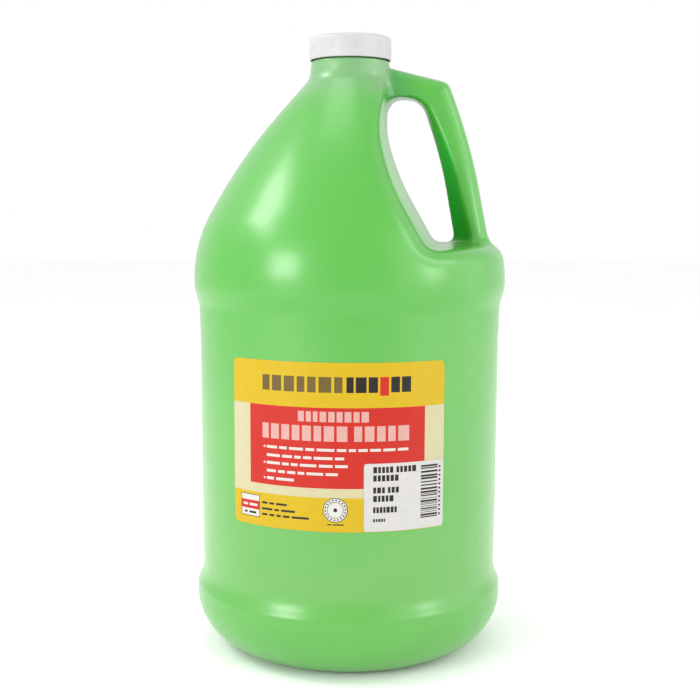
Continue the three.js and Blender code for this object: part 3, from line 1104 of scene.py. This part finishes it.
def printed_sheet(name, area, corner, inner, marks, ground, inks, body, slot, replaced):
    """A thin film on the panel whose faces follow the print, so that each mark is a set of faces."""
    left, right, low, high = area
    columns = grid_lines(left, right, [e for m in marks for e in m[:2]], WIDEST_COLUMN)
    levels = grid_lines(low, high, [e for m in marks for e in m[2:4]], TALLEST_LEVEL)
    u, z = np.meshgrid(columns, levels)
    u, z = round_corners(u, z, left, right, low, high, corner)
    skin = Skin()
    front = skin.add(on_panel(u, z, inner + FILM))
    skin.sheet(front)
    mid_u = (columns[1:] + columns[:-1]) / 2
    mid_z = ((levels[1:] + levels[:-1]) / 2)[:, None]
    looks = np.full((len(levels) - 1, len(columns) - 1), ground)
    for a, b, c, d, look in marks:
        looks[(mid_u > a) & (mid_u < b) & (mid_z > c) & (mid_z < d)] = look
    looks = looks.ravel().tolist()
    rim = [front[0], front[:, -1], front[-1][::-1], front[::-1, 0]]
    around = np.concatenate([side[:-1] for side in rim])
    points = skin.vertices[around]
    flat = np.hypot(points[:, 0], points[:, 1])[:, None]
    back = skin.add(np.hstack([points[:, :2] * inner / flat, points[:, 2:]]))
    count = len(around)
    for n in range(count):
        m = (n + 1) % count
        skin.faces.append([int(around[n]), int(back[n]), int(back[m]), int(around[m])])
    across, up = len(columns) - 1, len(levels) - 1
    bottom, top = back[:across + 1], back[across + up:2 * across + up + 1][::-1]
    side_right, side_left = back[across:across + up + 1], np.append(back[2 * across + up:], back[0])[::-1]
    skin.faces.append([int(v) for v in (*side_left, top[1], bottom[1])])
    for n in range(1, across - 1):
        skin.faces.append([int(v) for v in (bottom[n], top[n], top[n + 1], bottom[n + 1])])
    skin.faces.append([int(v) for v in (bottom[-2], top[-2], *side_right[::-1])])
    looks += [ground if ground != CREAM else WHITE] * (len(skin.faces) - len(looks))
    made = piece(name, skin, inks, body, replaced, looks)
    crease(made, 40)
    return made


SEAL_CENTRE = (0.4, 82.8)
SEAL_RADII = (0.9, 1.7, 2.6, 3.5, 3.75, 4.25, 4.85, 5.3, 5.6)
SEAL_DOTS = None
SEAL_BANDS = (WHITE, WHITE, WHITE, INK, WHITE, SEAL_DOTS, WHITE, INK)
SEAL_SECTORS = 72
SEAL_LIFT = 0.03
SEAL_THICK = 0.05


def make_seal(inks):
    """A small round mark: rings and a ring of dots, as a thin disc on the label."""
    angles = circle(SEAL_SECTORS)
    radii = np.array(SEAL_RADII)[:, None]
    u, z = (middle + radii * turn(angles) for middle, turn in zip(SEAL_CENTRE, (np.cos, np.sin)))
    inner = LABEL_INNER + FILM + SEAL_LIFT
    outer = inner + SEAL_THICK
    middle_u, middle_z = (np.array([middle]) for middle in SEAL_CENTRE)
    skin = Skin()
    rows = skin.add(on_panel(u, z, outer))
    skin.fan(skin.add(on_panel(middle_u, middle_z, outer))[0], rows[0])
    skin.sheet(rows, wrap=True, flip=True)
    back = skin.add(on_panel(u[-1:], z[-1:], inner))
    skin.sheet(np.vstack([rows[-1:], back]), wrap=True, flip=True)
    skin.fan(skin.add(on_panel(middle_u, middle_z, inner))[0], back[0], flip=True)
    dots = [INK if n % 4 < 2 else WHITE for n in range(SEAL_SECTORS)]
    looks = [INK] * SEAL_SECTORS
    for band in SEAL_BANDS:
        looks += dots if band is SEAL_DOTS else [band] * SEAL_SECTORS
    looks += [WHITE] * (2 * SEAL_SECTORS)
    return piece("label_seal", skin, inks, "jug", (), looks)


def make_label():
    inks = label_inks()
    area = (LABEL_LEFT, LABEL_RIGHT, LABEL_LOW, LABEL_HIGH)
    sheet = (area, LABEL_CORNER, LABEL_INNER, label_marks(), CREAM)
    printed_sheet("label_sheet", *sheet, inks, "jug", "label_film", ["front_label"])
    make_seal(inks)
    papers = list(inks)
    papers[WHITE] = print_look("sticker_white", srgb(180, 178, 174), srgb(186, 183, 180), (0.4, 0.51))
    area = (STICKER_LEFT, STICKER_RIGHT, STICKER_LOW, STICKER_HIGH)
    sheet = (area, STICKER_CORNER, STICKER_INNER, sticker_marks(), WHITE)
    printed_sheet("sticker_sheet", *sheet, papers, "jug", "sticker_paper", ["variant_sticker"])


# ---------------------------------------------------------------- floor, light and camera

def make_floor():
    mesh = bpy.data.meshes.new("floor")
    reach = 6
    corners = [(-reach, -reach, 0), (reach, -reach, 0), (reach, reach, 0), (-reach, reach, 0)]
    mesh.from_pydata(corners, [], [(0, 1, 2, 3)])
    look = Look("floor_white", IOR=1.4)
    look.colour(look.mottled(3, srgb(251, 251, 251), srgb(253, 253, 253)))
    look.roughness(look.uneven(9, 0.8, 0.9))
    mesh.materials.append(look.material)
    floor = bpy.data.objects.new("floor", mesh)
    bpy.context.scene.collection.objects.link(floor)


# Soft rectangular lights: azimuth from the label's side, positive towards the handle, and elevation in
# degrees, distance and size in metres, power in watts, and the point aimed at
LIGHTS = {
    "key_left": (-43, 12, 1.2, (0.44, 0.4), 6.0, (-0.02, -0.07, 0.19)),
    "high_left": (-84, 43, 1.2, (0.38, 0.42), 5.0, (-0.03, -0.06, 0.215)),
    "neck_left": (-66, 30, 1.2, (0.25, 0.25), 0.9, (-0.01, -0.02, 0.27)),
    "low_right": (66, 10, 1.2, (0.3, 0.3), 1.9, (0.03, -0.05, 0.15)),
    "high_right": (86, 34, 1.2, (0.3, 0.4), 1.4, (0.03, -0.02, 0.25)),
    "overhead": (-94, 82, 1.2, (0.5, 0.5), 1.7, (0, 0, 0.2)),
    "side_right": (100, 10, 1.5, (0.8, 1.2), 2.6, (0, 0, 0.16)),
    "wide_right": (60, 20, 1.5, (1.2, 1.2), 4.8, (0, 0, 0.16)),
}


def make_light(name, azimuth, elevation, distance, size, power, aim):
    light = bpy.data.lights.new(name, "AREA")
    light.shape = "RECTANGLE"
    light.size, light.size_y = size
    light.energy = power
    made = bpy.data.objects.new(name, light)
    a, e = math.radians(azimuth), math.radians(elevation)
    back = Vector((math.sin(a) * math.cos(e), -math.cos(a) * math.cos(e), math.sin(e)))
    made.location = Vector(aim) + back * distance
    made.rotation_mode = "QUATERNION"
    made.rotation_quaternion = back.to_track_quat("Z", "Y")
    bpy.context.scene.collection.objects.link(made)


def make_world():
    world = bpy.data.worlds.new("studio")
    world.use_nodes = True
    background = world.node_tree.nodes["Background"]
    background.inputs["Color"].default_value = (1, 1, 1, 1)
    background.inputs["Strength"].default_value = 1.0
    bpy.context.scene.world = world
    bpy.context.scene.view_settings.view_transform = "Standard"


# The camera's distance from the jug's axis and height in metres, its turn round the jug and its tilts
CAMERA_DISTANCE, CAMERA_HEIGHT = 0.59565, 0.21075
CAMERA_LENS = 61.37
CAMERA_SHIFT = (0.001, 0.0286)
HEADING, PITCH, ROLL = (math.radians(angle) for angle in (5, 7.07, 0.2))


def make_camera():
    data = bpy.data.cameras.new("camera")
    data.sensor_width = 36
    data.lens = CAMERA_LENS
    data.shift_x, data.shift_y = CAMERA_SHIFT
    data.clip_start, data.clip_end = 0.01, 50
    camera = bpy.data.objects.new("camera", data)
    back = (CAMERA_DISTANCE * math.sin(HEADING), -CAMERA_DISTANCE * math.cos(HEADING))
    camera.location = (*back, CAMERA_HEIGHT)
    turn = Matrix.Rotation(HEADING, 4, "Z") @ Matrix.Rotation(math.pi / 2 - PITCH, 4, "X")
    camera.rotation_euler = (turn @ Matrix.Rotation(ROLL, 4, "Z")).to_euler()
    bpy.context.scene.collection.objects.link(camera)
    bpy.context.scene.camera = camera


make_camera()
make_world()
make_floor()
for light_name, placing in LIGHTS.items():
    make_light(light_name, *placing)
jug_form = JugForm()
make_jug(jug_form)
make_paint(jug_form)
make_cap()
make_liner()
make_label()
